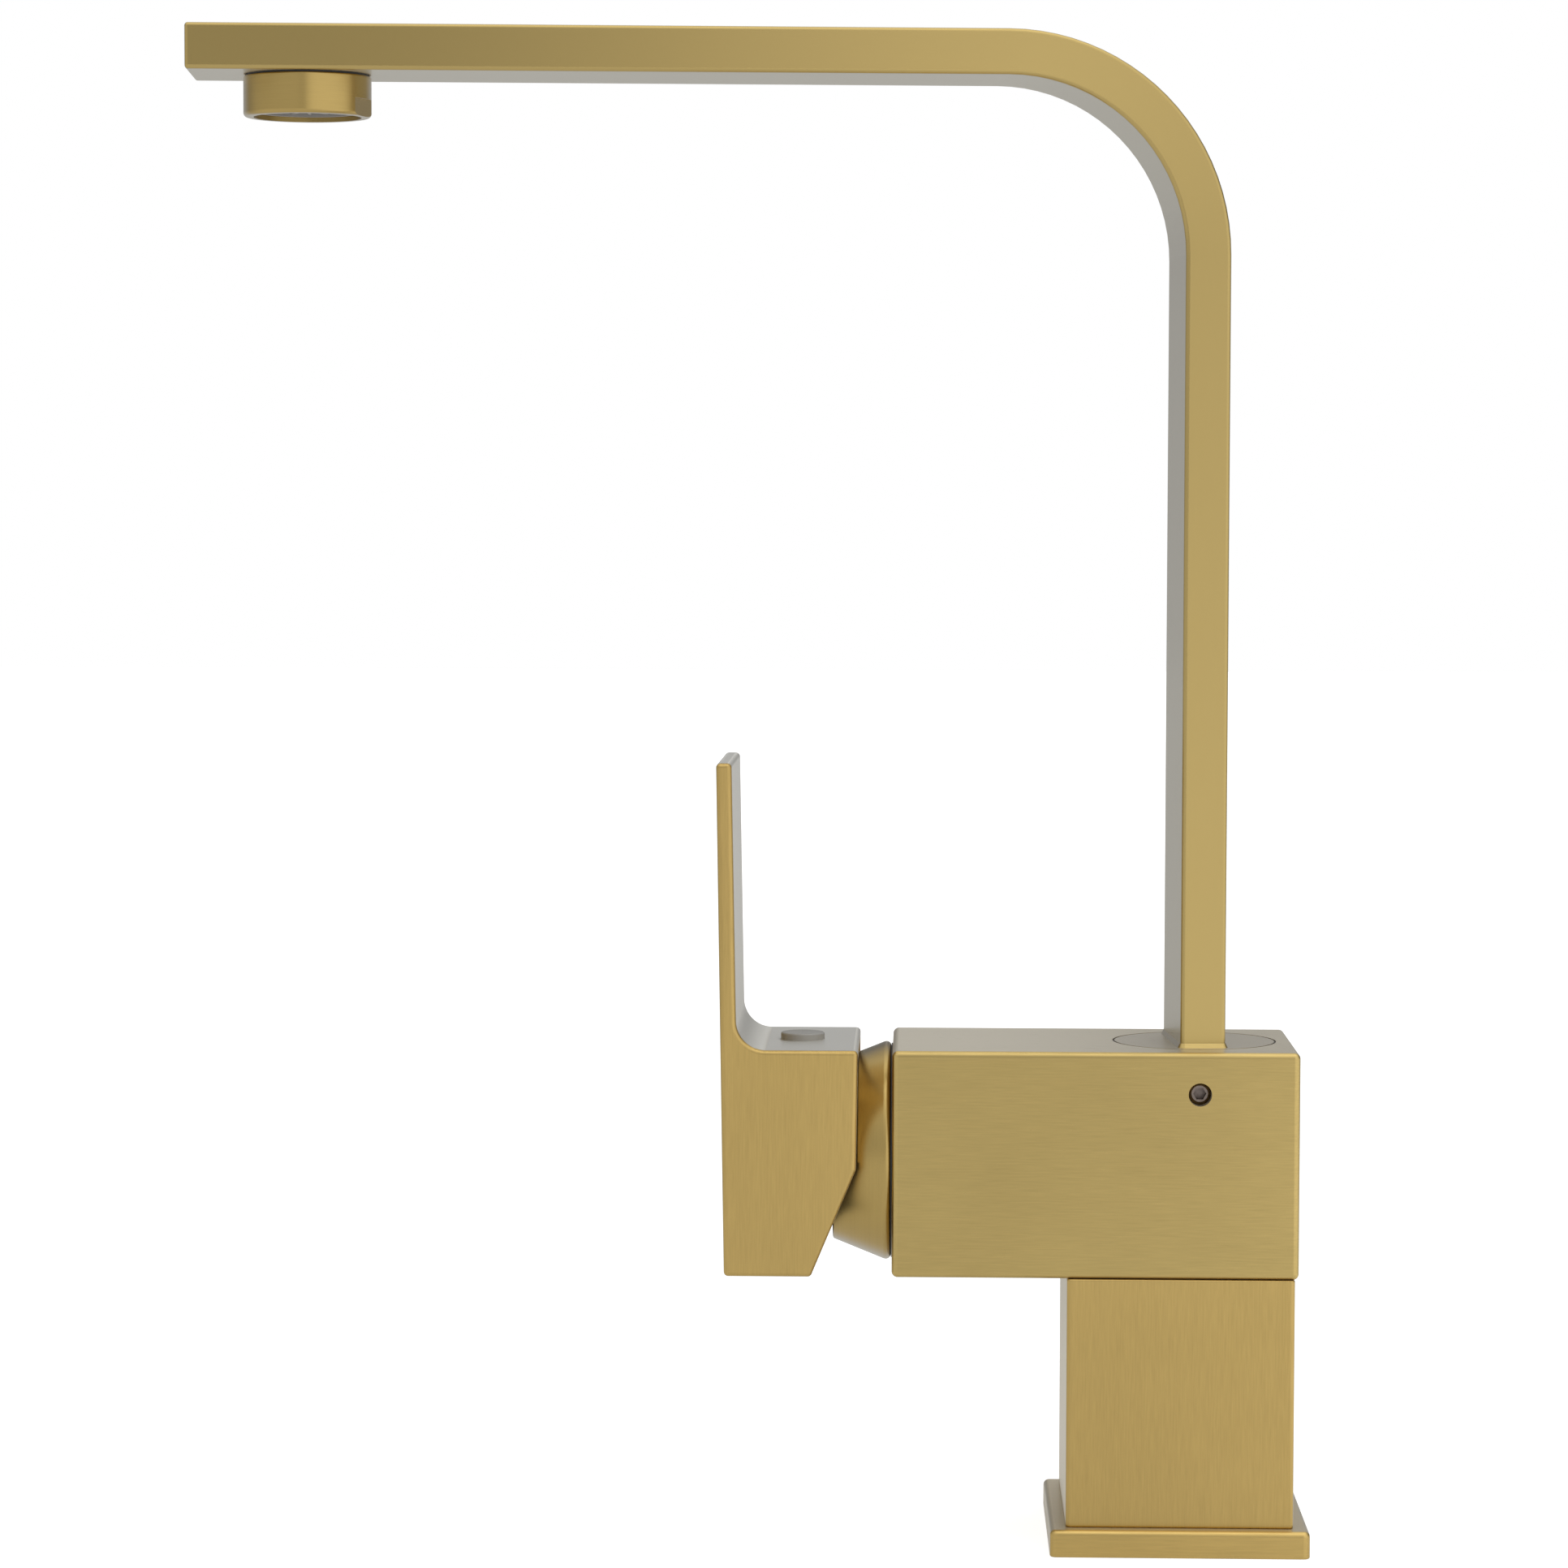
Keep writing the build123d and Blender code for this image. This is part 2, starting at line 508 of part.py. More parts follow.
# A shallow plastic cup, open downwards, with a hub and vanes that straighten the water.
VANES = 16
VANE_THICKNESS = 0.7
INSERT_WALL = 1.2
INSERT_ROOF = 1.0
HUB_RADIUS = 3.0
HUB_RECESS = 0.3
VANE_RECESS = 0.5
FLOW_HOLE_RADIUS = 0.8
FLOW_HOLE_CIRCLE = 8.0
with BuildPart() as aerator_insert:
    insert_top = SCREEN_TOP - SCREEN_HEIGHT
    roof_bottom = insert_top - INSERT_ROOF
    vane_bottom = INSERT_BOTTOM + VANE_RECESS
    vane_outer = INSERT_RADIUS - INSERT_WALL / 2
    disc_z(outlet_plane, INSERT_BOTTOM, insert_top, INSERT_RADIUS)
    disc_z(outlet_plane, INSERT_BOTTOM, roof_bottom, INSERT_RADIUS - INSERT_WALL, Mode.SUBTRACT)
    disc_z(outlet_plane, INSERT_BOTTOM + HUB_RECESS, insert_top, HUB_RADIUS)
    with BuildSketch(outlet_plane.offset(vane_bottom)) as vanes:
        with PolarLocations(HUB_RADIUS / 2, VANES):
            Rectangle(vane_outer - HUB_RADIUS / 2, VANE_THICKNESS, align=(Align.MIN, Align.CENTER))
    extrude(vanes.sketch, amount=insert_top - vane_bottom)
    with BuildSketch(outlet_plane.offset(roof_bottom)) as flow_holes:
        with PolarLocations(FLOW_HOLE_CIRCLE, VANES, start_angle=180 / VANES):
            Circle(FLOW_HOLE_RADIUS)
    extrude(flow_holes.sketch, amount=INSERT_ROOF, mode=Mode.SUBTRACT)
save(aerator_insert, "aerator_insert")


# ================================================================ cartridge
DISC_RADIUS = 15.3
FIXED_DISC_TOP = -45.4
MOVING_DISC_BOTTOM = FIXED_DISC_TOP - 0.05
MOVING_DISC_TOP = -49.4
CARRIER_TOP = -54.4
MOVING_RADIUS = 12.6
ROTOR_FLANGE_LOW = -55.0
ROTOR_FLANGE_TOP = -59.2
ROTOR_END = -70.6
PIN_RADIUS = 1.5
SEAL_SECTION = 1.2
SEAL_DEPTH = 1.2
HOUSING_ROOF = 2.0
PORT_STEP = 0.4
MIX_WIDTH = 14.0
MIX_HEIGHT = 15.0
MIX_CORNER = 3.0
MIX_DEPTH = 1.8
MIX_RAISE = 1.0
SLOT_SIDE_PLAY = 0.3
SLOT_DEPTH = 4.2
ROTOR_SLOT_WAIST = 4.9
ROTOR_SLOT_MOUTH = 6.4
STEM_SIDE_PLAY = 0.15
PIN_END_GAP = 0.6
carrier_z = AXIS_Z - STEM_INNER_ARM * sin(TILT)
port_seats = [(-INLET_Y, hot_cold_z), (INLET_Y, hot_cold_z), (0, mixed_z)]


def ports_x(left, right, radius, mode):
    """The three water ports of the cartridge, as bores or rings along X."""
    with BuildSketch(Plane.YZ.offset(left)) as outline:
        with Locations(*port_seats):
            Circle(radius)
    extrude(outline.sketch, amount=right - left, mode=mode)


with BuildPart() as cartridge_housing:
    disc_x(SHOULDER_X, BASE_TOP, CARTRIDGE_RADIUS)
    disc_x(NECK_TOP, SHOULDER_X, NECK_RADIUS)
    roof_x = SHOULDER_X + HOUSING_ROOF
    disc_x(roof_x, BASE_TOP, CARTRIDGE_RADIUS - CARTRIDGE_WALL, Mode.SUBTRACT)
    disc_x(NECK_TOP, roof_x, NECK_BORE, Mode.SUBTRACT)
save(cartridge_housing, "cartridge_housing")

with BuildPart() as cartridge_base:
    disc_x(BASE_TOP, BASE_BOTTOM, CARTRIDGE_RADIUS)
    ports_x(BASE_TOP, BASE_BOTTOM, INLET_RADIUS, Mode.SUBTRACT)
    ports_x(BASE_BOTTOM - SEAL_DEPTH, BASE_BOTTOM, INLET_RADIUS + SEAL_SECTION + FIT, Mode.SUBTRACT)
save(cartridge_base, "cartridge_base")

with BuildPart() as cartridge_port_seals:
    ports_x(BASE_BOTTOM - SEAL_DEPTH, POCKET_FLOOR, INLET_RADIUS + SEAL_SECTION, Mode.ADD)
    ports_x(BASE_BOTTOM - SEAL_DEPTH, POCKET_FLOOR, INLET_RADIUS, Mode.SUBTRACT)
save(cartridge_port_seals, "cartridge_port_seals")

with BuildPart() as fixed_disc:
    disc_x(FIXED_DISC_TOP, BASE_TOP, DISC_RADIUS)
    ports_x(FIXED_DISC_TOP, BASE_TOP, INLET_RADIUS - PORT_STEP, Mode.SUBTRACT)
save(fixed_disc, "fixed_disc")

with BuildPart() as moving_disc:
    disc_x(MOVING_DISC_TOP, MOVING_DISC_BOTTOM, MOVING_RADIUS, z=carrier_z)
    with BuildSketch(Plane.YZ.offset(MOVING_DISC_BOTTOM)) as mixing_hollow:
        with Locations((0, carrier_z + MIX_RAISE)):
            RectangleRounded(MIX_WIDTH, MIX_HEIGHT, MIX_CORNER)
    extrude(mixing_hollow.sketch, amount=-MIX_DEPTH, mode=Mode.SUBTRACT)
save(moving_disc, "moving_disc")

with BuildPart() as disc_carrier:
    disc_x(CARRIER_TOP, MOVING_DISC_TOP, MOVING_RADIUS, z=carrier_z)
    with BuildSketch(Plane.YZ.offset(CARRIER_TOP)) as ball_slot:
        with Locations((0, carrier_z)):
            Rectangle(2 * (BALL_RADIUS + SLOT_SIDE_PLAY), 2 * BALL_RADIUS + SLOT_SIDE_PLAY)
    extrude(ball_slot.sketch, amount=SLOT_DEPTH, mode=Mode.SUBTRACT)
save(disc_carrier, "disc_carrier")

# The rotor turns in the housing's neck and carries the lever's pin.
with BuildPart() as cartridge_rotor:
    disc_x(ROTOR_END, ROTOR_FLANGE_LOW, NECK_BORE - RUNNING_GAP)
    disc_x(ROTOR_FLANGE_TOP, ROTOR_FLANGE_LOW, DISC_RADIUS)
    with BuildSketch(Plane.XZ) as lever_slot:
        with BuildLine():
            Polyline(
                (ROTOR_END, AXIS_Z - ROTOR_SLOT_MOUTH),
                (PIVOT_X, AXIS_Z - ROTOR_SLOT_WAIST),
                (ROTOR_FLANGE_LOW, AXIS_Z - ROTOR_SLOT_MOUTH),
                (ROTOR_FLANGE_LOW, AXIS_Z + ROTOR_SLOT_MOUTH),
                (PIVOT_X, AXIS_Z + ROTOR_SLOT_WAIST),
                (ROTOR_END, AXIS_Z + ROTOR_SLOT_MOUTH),
                close=True,
            )
        make_face()
    extrude(lever_slot.sketch, amount=STEM_SIDE / 2 + STEM_SIDE_PLAY, both=True, mode=Mode.SUBTRACT)
    with BuildSketch(Plane.XZ) as pin_hole:
        with Locations((PIVOT_X, AXIS_Z)):
            Circle(PIN_RADIUS)
    extrude(pin_hole.sketch, amount=NECK_BORE, both=True, mode=Mode.SUBTRACT)
save(cartridge_rotor, "cartridge_rotor")

with BuildPart() as stem_pivot_pin:
    with BuildSketch(Plane.XZ) as pin_section:
        with Locations((PIVOT_X, AXIS_Z)):
            Circle(PIN_RADIUS)
    extrude(pin_section.sketch, amount=NECK_BORE - PIN_END_GAP, both=True)
save(stem_pivot_pin, "stem_pivot_pin")

STEM_LENGTH = 26.0
STEM_CHAMFER = 0.6
ARM_RADIUS = 1.8
stem_axis = Axis(stem_plane.origin, stem_plane.x_dir)
with BuildPart() as cartridge_stem:
    with BuildSketch(stem_plane) as bar_side:
        Rectangle(STEM_LENGTH, STEM_SIDE, align=(Align.MIN, Align.CENTER))
        Circle(STEM_SIDE / 2)
    extrude(bar_side.sketch, amount=STEM_SIDE / 2, both=True)
    chamfer(cartridge_stem.faces().sort_by(Axis.X)[0].edges(), STEM_CHAMFER)
    # round arm with a ball end, which pushes the disc carrier up and down
    with BuildSketch(stem_plane) as arm_side:
        with Locations((-STEM_INNER_ARM, 0)):
            Circle(BALL_RADIUS)
        Rectangle(STEM_INNER_ARM, 2 * ARM_RADIUS, align=(Align.MAX, Align.CENTER))
        with Locations((-STEM_INNER_ARM / 2, 0)):
            lower_half = (Align.CENTER, Align.MAX)
            Rectangle(2 * STEM_INNER_ARM, BALL_RADIUS, align=lower_half, mode=Mode.SUBTRACT)
    revolve(arm_side.sketch, axis=stem_axis)
    with BuildSketch(Plane.XZ) as stem_pin_hole:
        with Locations((PIVOT_X, AXIS_Z)):
            Circle(PIN_RADIUS + RUNNING_GAP)
    extrude(stem_pin_hole.sketch, amount=STEM_SIDE, both=True, mode=Mode.SUBTRACT)
save(cartridge_stem, "cartridge_stem")

NUT_SLOTS = 4
NUT_SLOT_DEPTH = 2.5
NUT_SLOT_LENGTH = 5.0
NUT_SLOT_WIDTH = 4.0
NUT_RECESS = 0.2
NECK_GAP = 0.2
nut_front = SPIGOT_END + NUT_RECESS
with BuildPart() as cartridge_nut:
    disc_x(nut_front, SHOULDER_X, NUT_RADIUS)
    disc_x(nut_front, SHOULDER_X, NECK_RADIUS + NECK_GAP, Mode.SUBTRACT)
    with BuildSketch(Plane.YZ.offset(nut_front)) as nut_slots:
        with Locations((0, AXIS_Z)):
            with PolarLocations(NUT_RADIUS, NUT_SLOTS, start_angle=45):
                Rectangle(NUT_SLOT_LENGTH, NUT_SLOT_WIDTH)
    extrude(nut_slots.sketch, amount=NUT_SLOT_DEPTH, mode=Mode.SUBTRACT)
save(cartridge_nut, "cartridge_nut")


# ================================================================ cover and handle
COVER_WALL = 2.0
COVER_CHAMFER = 0.4
COVER_BACK_EDGE = 1.1
COVER_FRONT_EDGE = 0.5
cover_bore = SPIGOT_RADIUS + THREAD_GAP
with BuildPart() as cartridge_cover:
    with BuildSketch(Plane.XZ) as cover_side:
        with BuildLine():
            Polyline(
                (COVER_BACK, AXIS_Z + cover_bore),
                (COVER_BACK, AXIS_Z + COVER_RIM_RADIUS + COVER_CHAMFER),
                (COVER_RIM, AXIS_Z + COVER_RIM_RADIUS),
                (COVER_FRONT, AXIS_Z + COVER_FRONT_RADIUS),
                (COVER_FRONT, AXIS_Z + COVER_OPENING),
                (COVER_FRONT + COVER_WALL, AXIS_Z + COVER_OPENING),
                (COVER_FRONT + COVER_WALL, AXIS_Z + COVER_FRONT_RADIUS - COVER_WALL),
                (SPIGOT_END - COVER_CHAMFER, AXIS_Z + cover_bore),
                close=True,
            )
        make_face()
    revolve(cover_side.sketch, axis=cartridge_axis)
    back_rim = cartridge_cover.faces().sort_by(Axis.X)[-1].edges().sort_by(SortBy.LENGTH)[-1]
    fillet(back_rim, COVER_BACK_EDGE)
    front_rim = cartridge_cover.faces().sort_by(Axis.X)[0].edges()
    fillet(front_rim, COVER_FRONT_EDGE)
save(cartridge_cover, "cartridge_cover")

POCKET_TOP = BODY_TOP - 2.2
POCKET_BOTTOM = HANDLE_BOTTOM + 4.2
POCKET_FRONT = HANDLE_FRONT + 4.5
BOSS_BACK = -78.3
BOSS_BOTTOM = AXIS_Z - 5.2
BOSS_HALF_WIDTH = 7.0
HANDLE_EDGE = 1.0
POCKET_CORNER = 2.0
LIP_OPENING = 22.5
BOSS_SINK = 1.0
SOCKET_GAP = 0.05
SOCKET_END_GAP = 0.3
PADDLE_TAPER = 1.2
PLUG_HOLE_RADIUS = 3.5
PLUG_HOLE_DEPTH = 5.0
paddle_back_foot = HANDLE_FRONT_TOP + PADDLE_THICKNESS + PADDLE_TAPER
finger_corner = Vector(paddle_back_foot, 0, BODY_TOP)
finger_corner_in_sketch = Vector(paddle_back_foot, BODY_TOP, 0)

with BuildPart() as handle:
    with BuildSketch(Plane.XZ) as handle_side:
        with BuildLine():
            Polyline(
                (HANDLE_FRONT, HANDLE_BOTTOM),
                (HANDLE_FRONT_TOP, PADDLE_TOP),
                (HANDLE_FRONT_TOP + PADDLE_THICKNESS, PADDLE_TOP),
                (paddle_back_foot, BODY_TOP),
                (HANDLE_BACK, BODY_TOP),
                (HANDLE_BACK_KNEE, KNEE_Z),
                (HANDLE_BACK_BOTTOM, HANDLE_BOTTOM),
                close=True,
            )
        make_face()
        inner_corner = handle_side.vertices().sort_by_distance(finger_corner_in_sketch)[0]
        fillet(inner_corner, FINGER_RADIUS)
    extrude(handle_side.sketch, amount=SECTION / 2, both=True)
    cross_edges = handle.edges().filter_by(Axis.Y).sort_by_distance(finger_corner)[2:]
    side_edges = handle.faces().filter_by(Axis.Y).edges()
    fillet(cross_edges + side_edges, HANDLE_EDGE)
    # hollow back, into which the cartridge cover dips as the lever is lifted
    with BuildSketch(Plane.XZ) as pocket_side:
        with BuildLine():
            Polyline(
                (BODY_LEFT, POCKET_TOP),
                (POCKET_FRONT, POCKET_TOP),
                (POCKET_FRONT, POCKET_BOTTOM),
                (BODY_LEFT, POCKET_BOTTOM),
                close=True,
            )
        make_face()
        fillet(pocket_side.vertices().group_by(Axis.X)[0], POCKET_CORNER)
    extrude(pocket_side.sketch, amount=SECTION / 2 - HANDLE_WALL, both=True, mode=Mode.SUBTRACT)
    # lip that closes the top half of the hollow round the cover
    with BuildSketch(Plane.YZ.offset(HANDLE_BACK_KNEE)) as lip:
        with Locations((0, AXIS_Z)):
            Rectangle(SECTION - HANDLE_WALL, POCKET_TOP + 1 - AXIS_Z, align=(Align.CENTER, Align.MIN))
            Circle(LIP_OPENING, mode=Mode.SUBTRACT)
    extrude(lip.sketch, amount=-HANDLE_WALL)
    # boss that takes the stem, hanging from the top wall
    with BuildSketch(Plane.XZ) as boss_side:
        with BuildLine():
            Polyline(
                (HANDLE_FRONT + BOSS_SINK, BOSS_BOTTOM),
                (HANDLE_FRONT + BOSS_SINK, BODY_TOP - BOSS_SINK),
                (BOSS_BACK, BODY_TOP - BOSS_SINK),
                (BOSS_BACK, BOSS_BOTTOM),
                close=True,
            )
        make_face()
    extrude(boss_side.sketch, amount=BOSS_HALF_WIDTH, both=True)
    socket_side = STEM_SIDE + 2 * SOCKET_GAP
    socket_length = STEM_LENGTH + SOCKET_END_GAP - STEM_SIDE
    with BuildSketch(stem_plane) as stem_socket:
        with Locations((STEM_SIDE, 0)):
            Rectangle(socket_length, socket_side, align=(Align.MIN, Align.CENTER))
    extrude(stem_socket.sketch, amount=socket_side / 2, both=True, mode=Mode.SUBTRACT)
    disc_z(Plane.XY, AXIS_Z + STEM_SIDE / 2, BODY_TOP, GRUB_RADIUS + THREAD_GAP, Mode.SUBTRACT, PLUG_X)
    disc_z(Plane.XY, BODY_TOP - PLUG_HOLE_DEPTH, BODY_TOP, PLUG_HOLE_RADIUS, Mode.SUBTRACT, PLUG_X)
save(handle, "handle")

GRUB_LENGTH = 8.0
GRUB_TIP_GAP = 0.5
PLUG_END_GAP = 0.5
stem_rise = (PIVOT_X - PLUG_X) * tan(TILT)
lever_grub_bottom = AXIS_Z + stem_rise + STEM_SIDE / 2 / cos(TILT) + GRUB_TIP_GAP
with BuildPart() as handle_grub_screw:
    disc_z(Plane.XY, lever_grub_bottom, lever_grub_bottom + GRUB_LENGTH, GRUB_RADIUS, x=PLUG_X)
    with BuildSketch(Plane.XY.offset(lever_grub_bottom + GRUB_LENGTH)) as lever_grub_socket:
        with Locations((PLUG_X, 0)):
            RegularPolygon(GRUB_HEX_RADIUS, 6)
    extrude(lever_grub_socket.sketch, amount=-GRUB_HEX_DEPTH, mode=Mode.SUBTRACT)
save(handle_grub_screw, "handle_grub_screw")

with BuildPart() as handle_plug:
    plug_bottom = BODY_TOP - PLUG_HOLE_DEPTH + PLUG_END_GAP
    disc_z(Plane.XY, plug_bottom, BODY_TOP + PLUG_PROUD, PLUG_HOLE_RADIUS - THREAD_GAP, x=PLUG_X)
    disc_z(Plane.XY, BODY_TOP, BODY_TOP + PLUG_PROUD, PLUG_RADIUS, x=PLUG_X)
    fillet(handle_plug.faces().sort_by(Axis.Z)[-1].edges(), SMALL_EDGE)
save(handle_plug, "handle_plug")
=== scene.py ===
import json
from math import cos, radians, sin, tau

import bmesh
import bpy
from mathutils import Matrix, Vector


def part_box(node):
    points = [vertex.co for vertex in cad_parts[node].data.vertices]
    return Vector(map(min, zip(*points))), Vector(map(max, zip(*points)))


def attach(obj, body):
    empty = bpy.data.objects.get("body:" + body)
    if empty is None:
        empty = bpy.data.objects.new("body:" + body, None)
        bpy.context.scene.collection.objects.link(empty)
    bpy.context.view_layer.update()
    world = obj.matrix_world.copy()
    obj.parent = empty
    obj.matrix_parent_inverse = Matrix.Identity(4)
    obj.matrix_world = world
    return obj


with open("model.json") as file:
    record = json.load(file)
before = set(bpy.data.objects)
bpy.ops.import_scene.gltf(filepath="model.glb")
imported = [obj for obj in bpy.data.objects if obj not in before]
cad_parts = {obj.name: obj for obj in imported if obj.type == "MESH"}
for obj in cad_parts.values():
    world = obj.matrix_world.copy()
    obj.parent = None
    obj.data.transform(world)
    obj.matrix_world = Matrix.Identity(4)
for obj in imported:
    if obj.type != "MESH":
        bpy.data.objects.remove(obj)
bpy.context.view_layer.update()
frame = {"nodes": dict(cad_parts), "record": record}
nodes = frame["nodes"]
scene = bpy.context.scene

# ------------------------------------------------------------------ camera and picture
CAMERA_PLACE = Vector((-0.0579, -1.0536, 0.2276))
CAMERA_YAW = -1.641
CAMERA_PITCH = -3.229
CAMERA_ROLL = 0.147
CAMERA_LENS = 108.33
CAMERA_NEAR = 0.05
SENSOR = 36.0


def add_camera():
    """A long lens in front of the tap, a little above its body, looking slightly down."""
    data = bpy.data.cameras.new("camera")
    data.lens = CAMERA_LENS
    data.sensor_width = SENSOR
    data.clip_start = CAMERA_NEAR
    camera = bpy.data.objects.new("camera", data)
    scene.collection.objects.link(camera)
    turn = (
        Matrix.Rotation(radians(-CAMERA_YAW), 4, "Z")
        @ Matrix.Rotation(radians(90 + CAMERA_PITCH), 4, "X")
        @ Matrix.Rotation(radians(CAMERA_ROLL), 4, "Z")
    )
    camera.matrix_world = Matrix.Translation(CAMERA_PLACE) @ turn
    scene.camera = camera


scene.view_settings.view_transform = "Standard"
add_camera()


# ------------------------------------------------------------------ node helpers
class Shader:
    """A short way to write a node tree: every method adds one node and returns its output."""

    def __init__(self, tree):
        self.tree = tree
        self.tree.nodes.clear()

    def add(self, kind, inputs=None, output=0, **settings):
        node = self.tree.nodes.new(kind)
        for key, value in settings.items():
            setattr(node, key, value)
        for key, value in (inputs or {}).items():
            socket = node.inputs[key]
            if isinstance(value, bpy.types.NodeSocket):
                self.tree.links.new(value, socket)
            else:
                socket.default_value = value
        return node.outputs[output] if node.outputs else None

    def math(self, operation, first, second=0.0, third=0.0):
        return self.add("ShaderNodeMath", {0: first, 1: second, 2: third}, operation=operation)

    def remap(self, value, low, high, to_low=0.0, to_high=1.0, smooth=False):
        kind = "SMOOTHSTEP" if smooth else "LINEAR"
        inputs = {"Value": value, "From Min": low, "From Max": high, "To Min": to_low, "To Max": to_high}
        return self.add("ShaderNodeMapRange", inputs, interpolation_type=kind, clamp=True)

    def noise(self, vector, scale=1.0, detail=2.0, rough=0.5):
        inputs = {"Vector": vector, "Scale": scale, "Detail": detail, "Roughness": rough}
        return self.add("ShaderNodeTexNoise", inputs, output="Fac")

    def vector(self, operation, first, second):
        return self.add("ShaderNodeVectorMath", {0: first, 1: second}, operation=operation)

    def object_place(self):
        return self.add("ShaderNodeTexCoord", output="Object")

    def object_normal(self):
        return self.add("ShaderNodeTexCoord", output="Normal")

    def split(self, vector):
        node = self.tree.nodes.new("ShaderNodeSeparateXYZ")
        self.tree.links.new(vector, node.inputs[0])
        return node.outputs

    def join(self, x, y, z):
        return self.add("ShaderNodeCombineXYZ", {"X": x, "Y": y, "Z": z})

    def mix(self, share, first, second):
        """first where share is 0 and second where it is 1, for plain values."""
        return self.add("ShaderNodeMix", {"Factor": share, "A": first, "B": second}, data_type="FLOAT")

    def tint(self, colour, amount, factor):
        """colour, with its brightness swung by amount as factor goes from 0 to 1."""
        dark = tuple(c * (1 - amount) for c in colour) + (1,)
        light = tuple(min(1.0, c * (1 + amount)) for c in colour) + (1,)
        inputs = {"Factor": factor, 6: dark, 7: light}
        return self.add("ShaderNodeMix", inputs, output=2, data_type="RGBA")

    def surface(self, shader):
        self.add("ShaderNodeOutputMaterial", {"Surface": shader})


def new_material(name):
    material = bpy.data.materials.new(name)
    material.use_nodes = True
    return material, Shader(material.node_tree)


# ------------------------------------------------------------------ brushing
# The marks' fineness across and along the brushing, and a small lean that keeps the brushing
# direction off the normal of any face, where it would give no tangent.
FINE = 3000.0
SLOW = 140.0
NEARLY = 0.02


def middle_of(name):
    low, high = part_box(name)
    return (low + high) / 2


SWIVEL_X = middle_of("spout_foot").x
REST_SWIVEL = radians(4.36)
TUBE_HALF = 0.005
BEND_RADIUS = 0.044
BEND_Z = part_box("spout_tube")[1].z - TUBE_HALF - BEND_RADIUS


def straight(axis):
    """Straight brushing along one axis: a stretched place for the marks, and their direction."""
    def brush(s):
        stretch = {"x": (SLOW, FINE, FINE), "z": (FINE, FINE, SLOW)}
        direction = {"x": (1.0, NEARLY, NEARLY), "z": (NEARLY, NEARLY, 1.0)}
        return s.vector("MULTIPLY", s.object_place(), stretch[axis]), direction[axis]
    return brush


def turned(axis, centre):
    """Lathe marks round an axis through a centre."""
    def brush(s):
        offset = s.vector("SUBTRACT", s.object_place(), centre)
        along = s.add("ShaderNodeVectorMath", {0: offset, 1: axis}, output="Value", operation="DOT_PRODUCT")
        outward = s.vector("SUBTRACT", offset, s.vector("MULTIPLY", offset, [abs(a) for a in axis]))
        radius = s.add("ShaderNodeVectorMath", {0: outward}, output="Value", operation="LENGTH")
        x, y, z = s.split(outward)
        slow = s.math("MULTIPLY", s.math("ADD", s.math("ADD", x, y), z), SLOW)
        place = s.join(s.math("MULTIPLY", along, FINE), s.math("MULTIPLY", radius, FINE), slow)
        return place, s.vector("CROSS_PRODUCT", outward, axis)
    return brush


def along_spout(s):
    """Brushing that follows the bent tube, worked out in a frame turned with the spout."""
    turn = {"Center": (SWIVEL_X, 0.0, 0.0), "Vector": s.object_place(), "Angle": -REST_SWIVEL}
    x, y, z = s.split(s.add("ShaderNodeVectorRotate", turn, rotation_type="Z_AXIS"))
    right = s.math("MAXIMUM", s.math("SUBTRACT", x, SWIVEL_X - BEND_RADIUS), 0.0)
    above = s.math("MAXIMUM", s.math("SUBTRACT", z, BEND_Z), 0.0)
    across = s.add("ShaderNodeVectorMath", {0: s.join(right, 0.0, above)}, output="Value", operation="LENGTH")
    way = s.math("MULTIPLY", s.math("SUBTRACT", z, x), SLOW)
    place = s.join(s.math("MULTIPLY", across, FINE), s.math("MULTIPLY", y, FINE), way)
    along = s.join(above, NEARLY * BEND_RADIUS, s.math("MULTIPLY", right, -1.0))
    back = {"Vector": along, "Angle": REST_SWIVEL}
    return place, s.add("ShaderNodeVectorRotate", back, rotation_type="Z_AXIS")


# ------------------------------------------------------------------ materials
# One brass finish in several copies: the cover, collar and tube copies are made darker and the base plate's
# copy lighter, as painted shade and painted light that set how bright each part looks.
WARM_BRASS = (0.52, 0.366, 0.129)
PALE_BRASS = (0.54, 0.402, 0.152)
SHADED_BRASS = (0.46, 0.330, 0.118)
TUBE_SHADED_BRASS = (0.485, 0.361, 0.137)
RAW_BRASS = (0.66, 0.50, 0.22)
LIT_BRASS = (0.58, 0.412, 0.145)
# The colours the brass turns to at a low angle are a painted reflection of the surroundings; the handle's
# copy is lighter and the cover's and swivel foot's darker, as painted light and painted shade.
GLANCING = (0.66, 0.61, 0.50, 1.0)
PALE_GLANCING = (0.78, 0.77, 0.72, 1.0)
TUBE_GLANCING = (0.65, 0.62, 0.54, 1.0)
DARK_GLANCING = (0.46, 0.41, 0.31, 1.0)
DIM_GLANCING = (0.56, 0.52, 0.44, 1.0)
STEEL = (0.56, 0.56, 0.57)
DARK_STEEL = (0.24, 0.20, 0.18)
RUBBER = (0.025, 0.025, 0.025)
CARTRIDGE_PLASTIC = (0.62, 0.62, 0.60)
GLIDE_PLASTIC = (0.05, 0.045, 0.04)
CERAMIC = (0.84, 0.84, 0.82)
INSERT_GREY = (0.29, 0.275, 0.26)
PLUG_GREY = (0.32, 0.32, 0.31)

